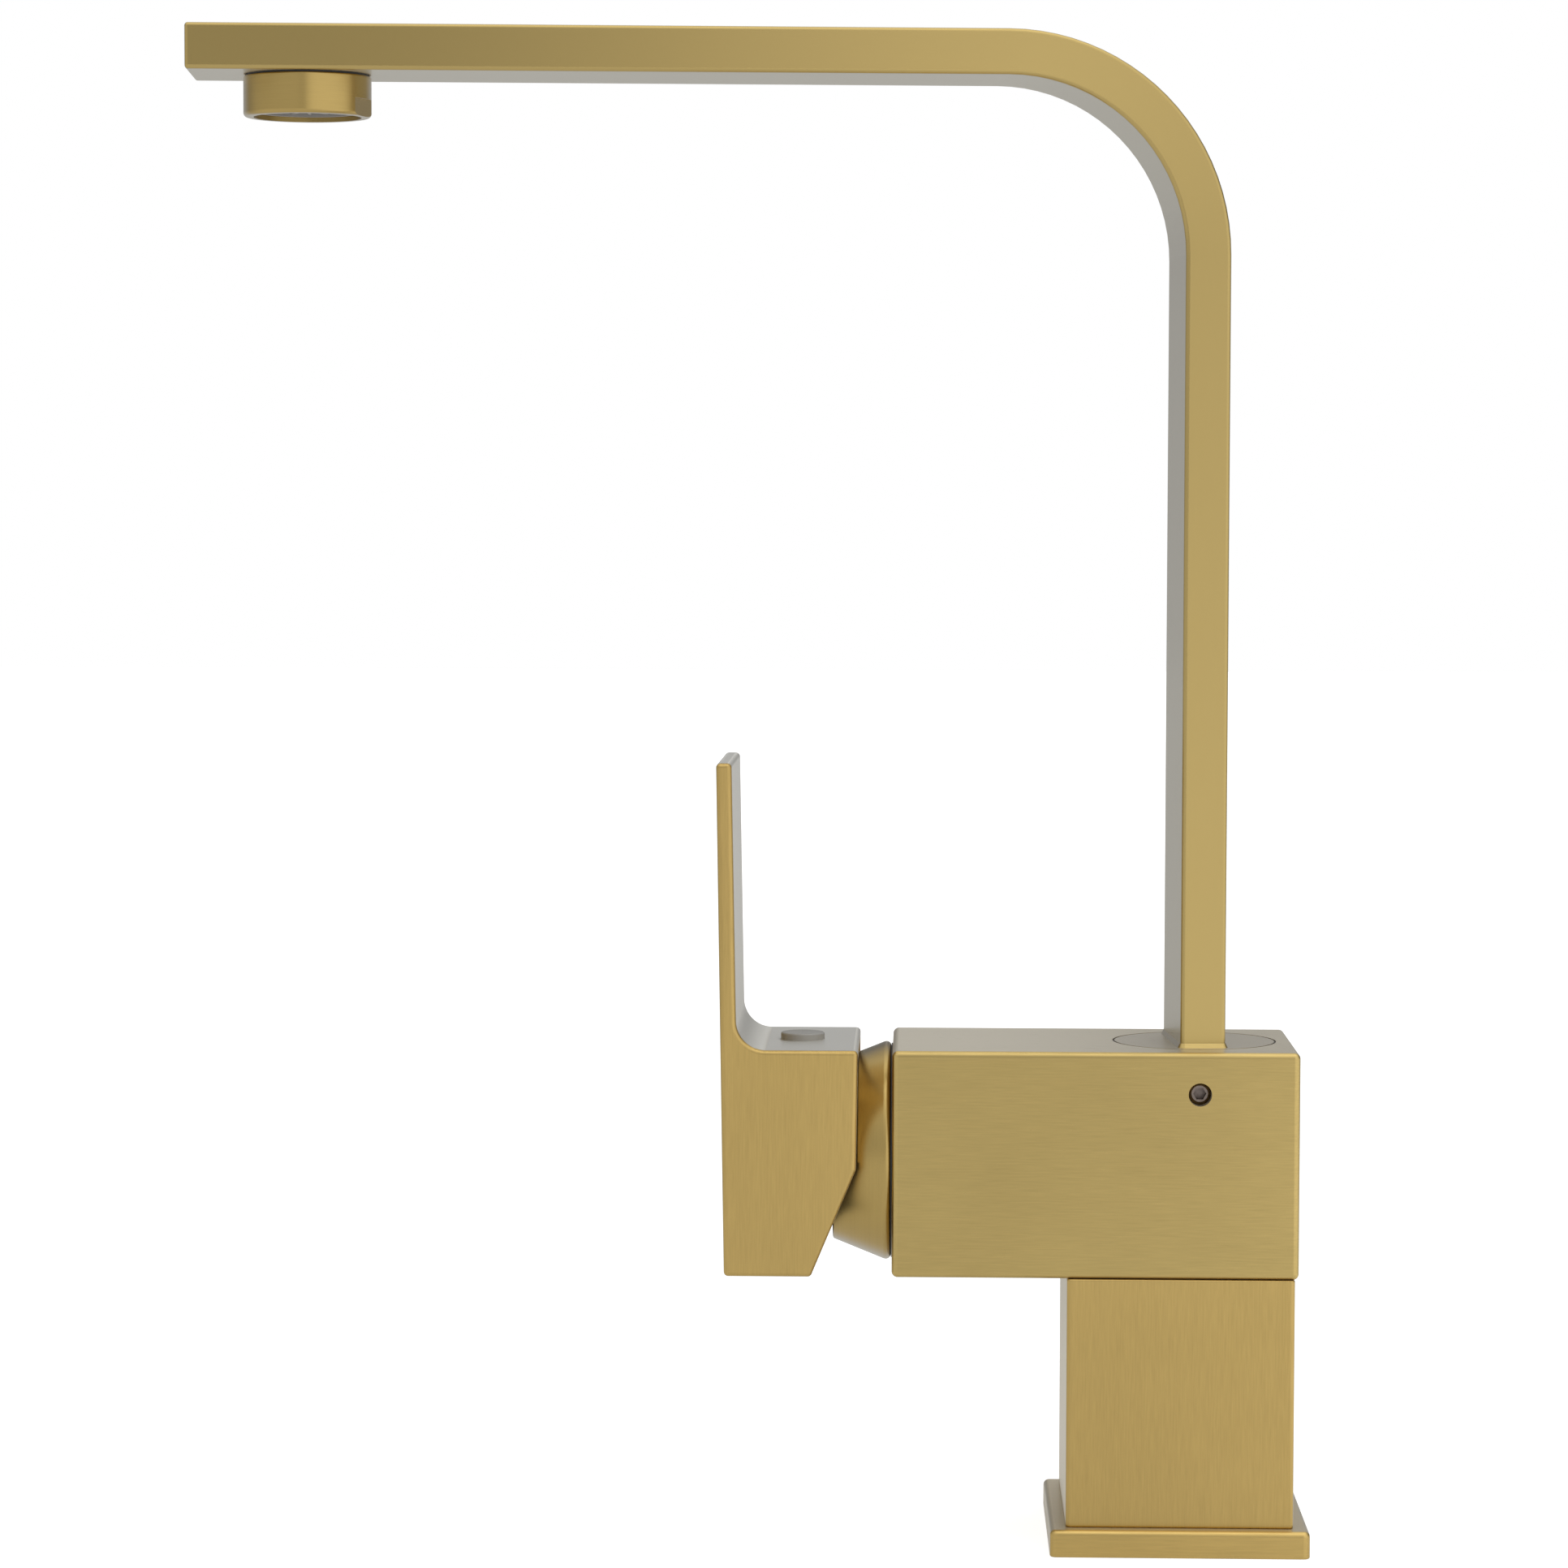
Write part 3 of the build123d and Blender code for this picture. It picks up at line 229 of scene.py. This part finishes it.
# The noise's useful range, the sizes of the marks, and how strongly they show in each kind of
# material's colour, roughness and height.
NOISE_LOW = 0.3
NOISE_HIGH = 0.7
BAND_SCALE = 0.16
CLOUD_SCALE = 28.0
STREAK_SHARE = 0.8
MARK_SHARE = 0.7
BRUSH_TINT = 0.10
BRUSH_SWING = 0.03
BRUSH_BUMP = 0.2
BRUSH_DEPTH = 0.00001
PALE_FROM = 0.55
PALE_TO = 0.90
TOOL_SCALE = 900.0
TOOL_TINT = 0.08
TOOL_DEPTH = 0.00002
SKIN_SCALE = 1500.0
FINE_SKIN_SCALE = 3000.0
SKIN_CLOUDS = 90.0
SKIN_TINT = 0.07
SKIN_DEPTH = 0.00003
SWING = 0.05
BUMP = 0.3


def brushed_metal(name, colour, brush, roughness, spread=0.8, grain=1.0, glancing=GLANCING):
    """Satin metal with fine brush marks, which grain makes stronger or weaker: they vary its
    brightness, roughness and height. Spread says how much more it blurs reflections across the
    marks than along them. At a low angle its colour turns to the given pale colour, a painted
    reflection that stands in for a clear coat's reflection of the surroundings."""
    material, s = new_material(name)
    place, direction = brush(s)
    streaks = s.noise(place, 1.0, 3.0, 0.6)
    bands = s.noise(place, BAND_SCALE, 2.0)
    clouds = s.noise(s.object_place(), CLOUD_SCALE, 2.0)
    marks = s.math("MULTIPLY_ADD", streaks, STREAK_SHARE, s.math("MULTIPLY", bands, 1 - STREAK_SHARE))
    mottle = s.math("MULTIPLY_ADD", clouds, 1 - MARK_SHARE, s.math("MULTIPLY", marks, MARK_SHARE))
    face_on = s.tint(colour, BRUSH_TINT * grain, s.remap(mottle, NOISE_LOW, NOISE_HIGH))
    # The colour turns pale at a low angle: a painted reflection, not a change in the metal.
    facing = s.add("ShaderNodeLayerWeight", {"Blend": 0.5}, output="Facing")
    mixing = {"Factor": s.remap(facing, PALE_FROM, PALE_TO, smooth=True), 6: face_on, 7: glancing}
    rougher = roughness + BRUSH_SWING * grain
    smoother = roughness - BRUSH_SWING * grain
    bump = {"Height": streaks, "Strength": BRUSH_BUMP * grain, "Distance": BRUSH_DEPTH}
    across = s.vector("CROSS_PRODUCT", s.object_normal(), direction)
    to_world = {"vector_type": "VECTOR", "convert_from": "OBJECT", "convert_to": "WORLD"}
    inputs = {
        "Base Color": s.add("ShaderNodeMix", mixing, output=2, data_type="RGBA"),
        "Metallic": 1.0,
        "Roughness": s.remap(marks, NOISE_LOW, NOISE_HIGH, rougher, smoother),
        "Normal": s.add("ShaderNodeBump", bump),
        "Anisotropic": spread,
        "Tangent": s.add("ShaderNodeVectorTransform", {"Vector": across}, **to_world),
    }
    s.surface(s.add("ShaderNodeBsdfPrincipled", inputs))
    return material


def plain_metal(name, colour, roughness):
    """Machined metal with fine, even tool marks."""
    material, s = new_material(name)
    marks = s.noise(s.object_place(), TOOL_SCALE, 3.0)
    inputs = {
        "Base Color": s.tint(colour, TOOL_TINT, s.remap(marks, NOISE_LOW, NOISE_HIGH)),
        "Metallic": 1.0,
        "Roughness": s.remap(marks, NOISE_LOW, NOISE_HIGH, roughness + SWING, roughness - SWING),
        "Normal": s.add("ShaderNodeBump", {"Height": marks, "Strength": BUMP, "Distance": TOOL_DEPTH}),
    }
    s.surface(s.add("ShaderNodeBsdfPrincipled", inputs))
    return material


def moulded(name, colour, roughness, scale=SKIN_SCALE, sheen=0.0):
    """Plastic, rubber or ceramic with a fine skin and slight mottling."""
    material, s = new_material(name)
    skin = s.noise(s.object_place(), scale, 2.0)
    clouds = s.noise(s.object_place(), SKIN_CLOUDS, 2.0)
    inputs = {
        "Base Color": s.tint(colour, SKIN_TINT, s.remap(clouds, NOISE_LOW, NOISE_HIGH)),
        "Roughness": s.remap(skin, NOISE_LOW, NOISE_HIGH, roughness + SWING, roughness - SWING),
        "Normal": s.add("ShaderNodeBump", {"Height": skin, "Strength": BUMP, "Distance": SKIN_DEPTH}),
        "Sheen Weight": sheen,
    }
    s.surface(s.add("ShaderNodeBsdfPrincipled", inputs))
    return material


round_cartridge = turned((1.0, 0.0, 0.0), middle_of("cartridge_cover"))
round_outlet = turned((0.0, 0.0, 1.0), middle_of("aerator_housing"))
tube_finish = brushed_metal("brass_spout", TUBE_SHADED_BRASS, along_spout, 0.27, grain=0.12, glancing=TUBE_GLANCING)
finishes = {
    "body": brushed_metal("brass_body", PALE_BRASS, straight("x"), 0.30),
    "base_plate": brushed_metal("brass_base", LIT_BRASS, straight("x"), 0.32),
    "column": brushed_metal("brass_column", WARM_BRASS, straight("z"), 0.32),
    "handle": brushed_metal("brass_handle", WARM_BRASS, straight("z"), 0.32, glancing=PALE_GLANCING),
    "cartridge_cover": brushed_metal(
        "brass_cover", SHADED_BRASS, round_cartridge, 0.30, spread=0.3, grain=0.5, glancing=DARK_GLANCING
    ),
    "spout_tube": tube_finish,
    "spout_end_cap": tube_finish,
    "spout_foot": brushed_metal("brass_foot", PALE_BRASS, straight("x"), 0.30, glancing=DIM_GLANCING),
    "aerator_housing": brushed_metal(
        "brass_collar", SHADED_BRASS, round_outlet, 0.33, spread=0.3, grain=0.5
    ),
    "aerator_insert": moulded("insert_grey", INSERT_GREY, 0.45),
    "handle_plug": moulded("plug_grey", PLUG_GREY, 0.40),
}
by_slot = {
    "raw_brass": plain_metal("raw_brass", RAW_BRASS, 0.35),
    "steel": plain_metal("steel", STEEL, 0.32),
    "dark_steel": plain_metal("dark_steel", DARK_STEEL, 0.42),
    "rubber": moulded("rubber", RUBBER, 0.65, sheen=0.2),
    "cartridge_plastic": moulded("cartridge_plastic", CARTRIDGE_PLASTIC, 0.45),
    "glide_plastic": moulded("glide_plastic", GLIDE_PLASTIC, 0.50),
    "ceramic": moulded("ceramic", CERAMIC, 0.18, scale=FINE_SKIN_SCALE),
}
slot_of = {part["node"]: part["material_slot"] for part in frame["record"]["subparts"]}
for name, node in nodes.items():
    node.material_slots[0].material = finishes.get(name) or by_slot[slot_of[name]]


# ------------------------------------------------------------------ dark rings in the joints, painted shade
# The gaps that the dark rings fill, the clearance they keep on each side, and their own sizes.
RING_STEPS = 160
SWIVEL_GAP = 0.00045
COVER_GAP = 0.0003
CLEAR = 0.00003
SWIVEL_SHADE_RECESS = 0.0002
SWIVEL_SHADE_DEPTH = 0.0006
COLLAR_SHADE_INNER = 0.0120
COLLAR_SHADE_OUTER = 0.0135
COVER_RING_INNER = 0.0210
COVER_RING_OUTER = 0.0240


def add_ring(name, base, axis, inner, outer, depth, body):
    """A flat black ring, in the rubber finish, that stands out from base along axis: dark colour put into a
    joint.
    """
    turn = Vector(axis).to_track_quat("Z", "Y").to_matrix()
    work = bmesh.new()
    loops = []
    for radius, height in ((inner, 0.0), (outer, 0.0), (outer, depth), (inner, depth)):
        loop = []
        for step in range(RING_STEPS):
            angle = tau * step / RING_STEPS
            point = Vector((radius * cos(angle), radius * sin(angle), height))
            loop.append(work.verts.new(base + turn @ point))
        loops.append(loop)
    for first, second in zip(loops, loops[1:] + loops[:1]):
        for step in range(RING_STEPS):
            after = (step + 1) % RING_STEPS
            work.faces.new((first[step], first[after], second[after], second[step]))
    bmesh.ops.recalc_face_normals(work, faces=work.faces)
    mesh = bpy.data.meshes.new(name)
    work.to_mesh(mesh)
    work.free()
    mesh.materials.append(by_slot["rubber"])
    ring = bpy.data.objects.new(name, mesh)
    scene.collection.objects.link(ring)
    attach(ring, body)


def add_gap_shades():
    """Dark rings put into the joints: painted shade in the gap round the swivel disc and in the gap over the
    outlet collar, and a thin black ring in the gap behind the cover.
    """
    foot_low, foot_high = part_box("spout_foot")
    disc_radius = (foot_high.x - foot_low.x) / 2
    body_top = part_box("body")[1].z
    swivel_shade_base = Vector((SWIVEL_X, 0.0, body_top - SWIVEL_SHADE_RECESS - SWIVEL_SHADE_DEPTH))
    swivel_shade_inner = disc_radius + CLEAR
    swivel_shade_outer = disc_radius + SWIVEL_GAP - CLEAR
    add_ring("swivel_gap_shade", swivel_shade_base, (0, 0, 1), swivel_shade_inner, swivel_shade_outer, SWIVEL_SHADE_DEPTH, "mixer_body")
    collar_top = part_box("aerator_housing")[1].z
    collar_base = middle_of("aerator_housing")
    collar_base.z = collar_top + CLEAR
    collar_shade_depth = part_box("spout_end_cap")[0].z - collar_top - 2 * CLEAR
    add_ring("collar_gap_shade", collar_base, (0, 0, 1), COLLAR_SHADE_INNER, COLLAR_SHADE_OUTER, collar_shade_depth, "spout")
    cover_base = middle_of("cartridge_cover")
    cover_base.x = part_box("cartridge_cover")[1].x + CLEAR
    cover_ring_depth = COVER_GAP - 2 * CLEAR
    add_ring("cover_gap_ring", cover_base, (1, 0, 0), COVER_RING_INNER, COVER_RING_OUTER, cover_ring_depth, "mixer_body")


add_gap_shades()

# ------------------------------------------------------------------ studio
WHITE = (1.0, 1.0, 1.0, 1.0)
BEHIND_LOW = 0.45
BEHIND_HIGH = 0.15
SLIT = 0.25
FRONT_LEFT = 0.64
FRONT_RIGHT = 1.13
GAP = 0.70
CEILING = 1.35
SEEN_WORLD = 1.0

# Where each part of the studio starts and ends, in degrees.
BEHIND_FADE = (2, 14)
SLIT_EDGE = (0.5, 4.0)
SLIT_TOP = (20, 35)
LEFT_START = (-125, -95)
LEFT_END = (-8, 4)
RIGHT_START = (1, 9)
RIGHT_END = (75, 105)
GAP_MIDDLE = 2.0
GAP_EDGE = (1.0, 8.0)
GAP_TOP = (9, 20)
GAP_FOOT = (-1, 7)
CEILING_START = (11, 75)


def add_surroundings():
    """A pale studio, by direction: dim behind the tap with a narrow lighter slit, a dim wall on
    the front left, a bright panel on the front right, a narrow darker gap between them, and a
    bright ceiling. Azimuth 0 is the tap's front, and it grows to the right. The camera itself
    sees plain white."""
    world = bpy.data.worlds.new("studio")
    world.use_nodes = True
    scene.world = world
    s = Shader(world.node_tree)
    x, y, z = s.split(s.add("ShaderNodeTexCoord", output="Generated"))
    azimuth = s.math("ARCTAN2", x, s.math("MULTIPLY", y, -1.0))
    elevation = s.math("ARCSINE", z)

    def rise(angle, span, low=0.0, high=1.0):
        start, end = span
        return s.remap(angle, radians(start), radians(end), low, high, smooth=True)

    level = rise(elevation, BEHIND_FADE, BEHIND_LOW, BEHIND_HIGH)
    backward = s.math("ABSOLUTE", s.math("ARCTAN2", x, y))
    slit = s.math("MULTIPLY", rise(backward, SLIT_EDGE, SLIT, 0.0), rise(elevation, SLIT_TOP, 1.0, 0.0))
    level = s.math("ADD", level, slit)
    left = s.math("MULTIPLY", rise(azimuth, LEFT_START), rise(azimuth, LEFT_END, 1.0, 0.0))
    level = s.mix(left, level, FRONT_LEFT)
    right = s.math("MULTIPLY", rise(azimuth, RIGHT_START), rise(azimuth, RIGHT_END, 1.0, 0.0))
    level = s.mix(right, level, FRONT_RIGHT)
    off_gap = s.math("ABSOLUTE", s.math("SUBTRACT", azimuth, radians(GAP_MIDDLE)))
    gap = s.math("MULTIPLY", rise(off_gap, GAP_EDGE, 1.0, 0.0), rise(elevation, GAP_TOP, 1.0, 0.0))
    gap = s.math("MULTIPLY", gap, rise(elevation, GAP_FOOT))
    level = s.math("MULTIPLY", level, s.math("MULTIPLY_ADD", gap, -GAP, 1.0))
    level = s.mix(rise(elevation, CEILING_START), level, CEILING)
    light = s.add("ShaderNodeBackground", {"Color": WHITE, "Strength": level})
    seen = s.add("ShaderNodeBackground", {"Color": WHITE, "Strength": SEEN_WORLD})
    is_camera = s.add("ShaderNodeLightPath", output="Is Camera Ray")
    mixed = s.add("ShaderNodeMixShader", {0: is_camera, 1: light, 2: seen})
    s.add("ShaderNodeOutputWorld", {"Surface": mixed})


FLOOR_SIZE = 6.0
FLOOR_PAINT = (0.45, 0.45, 0.447)
# How strongly the floor glows: a painted glow at the near left, near right and far back, and the plain white
# the camera sees.
NEAR_LEFT = 0.37
NEAR_RIGHT = 0.72
FAR_GLOW = 0.08
SEEN_GLOW = 0.80
TO_RIGHT = (-0.05, 0.20)
TO_BACK = (-0.1, 0.6)
FLOOR_MOTTLE = 0.01
FLOOR_GRAIN = 60.0


def add_floor():
    """A plain pale floor under the base plate. For everything but the camera it also glows, a painted glow
    that lights the tap, a little brighter at the front right and dimmer behind; the camera sees it plain
    white."""
    mesh = bpy.data.meshes.new("floor")
    corners = [(x * FLOOR_SIZE, y * FLOOR_SIZE, 0) for x, y in ((-1, -1), (1, -1), (1, 1), (-1, 1))]
    mesh.from_pydata(corners, [], [(0, 1, 2, 3)])
    floor = bpy.data.objects.new("floor", mesh)
    scene.collection.objects.link(floor)
    material, s = new_material("floor")
    place = s.object_place()
    x, y, _ = s.split(place)
    # Painted glow: the floor's emission for all but camera rays, stronger at the front right and weaker
    # behind.
    near = s.remap(x, *TO_RIGHT, NEAR_LEFT, NEAR_RIGHT, smooth=True)
    painted_glow = s.mix(s.remap(y, *TO_BACK, smooth=True), near, FAR_GLOW)
    mottled = s.tint(FLOOR_PAINT, FLOOR_MOTTLE, s.noise(place, FLOOR_GRAIN, 3.0))
    paint = s.add("ShaderNodeBsdfDiffuse", {"Color": mottled})
    glow = s.add("ShaderNodeEmission", {"Color": WHITE, "Strength": painted_glow})
    seen = s.add("ShaderNodeEmission", {"Color": WHITE, "Strength": SEEN_GLOW})
    is_camera = s.add("ShaderNodeLightPath", output="Is Camera Ray")
    extra = s.add("ShaderNodeMixShader", {0: is_camera, 1: glow, 2: seen})
    s.surface(s.add("ShaderNodeAddShader", {0: paint, 1: extra}))
    mesh.materials.append(material)


def add_softbox(name, place, aim, width, height, watts):
    """A rectangular soft light that isn't seen itself."""
    data = bpy.data.lights.new(name, "AREA")
    data.shape = "RECTANGLE"
    data.size = width
    data.size_y = height
    data.energy = watts
    lamp = bpy.data.objects.new(name, data)
    lamp.location = place
    lamp.rotation_euler = (Vector(aim) - Vector(place)).to_track_quat("-Z", "Y").to_euler()
    lamp.visible_camera = False
    scene.collection.objects.link(lamp)


SOFTBOX_PLACE = (0.25, -0.35, 1.5)
SOFTBOX_AIM = (0.0, 0.0, 0.16)
SOFTBOX_WIDTH = 1.0
SOFTBOX_HEIGHT = 0.7
SOFTBOX_WATTS = 0.8

add_surroundings()
add_floor()
add_softbox("overhead", SOFTBOX_PLACE, SOFTBOX_AIM, SOFTBOX_WIDTH, SOFTBOX_HEIGHT, SOFTBOX_WATTS)
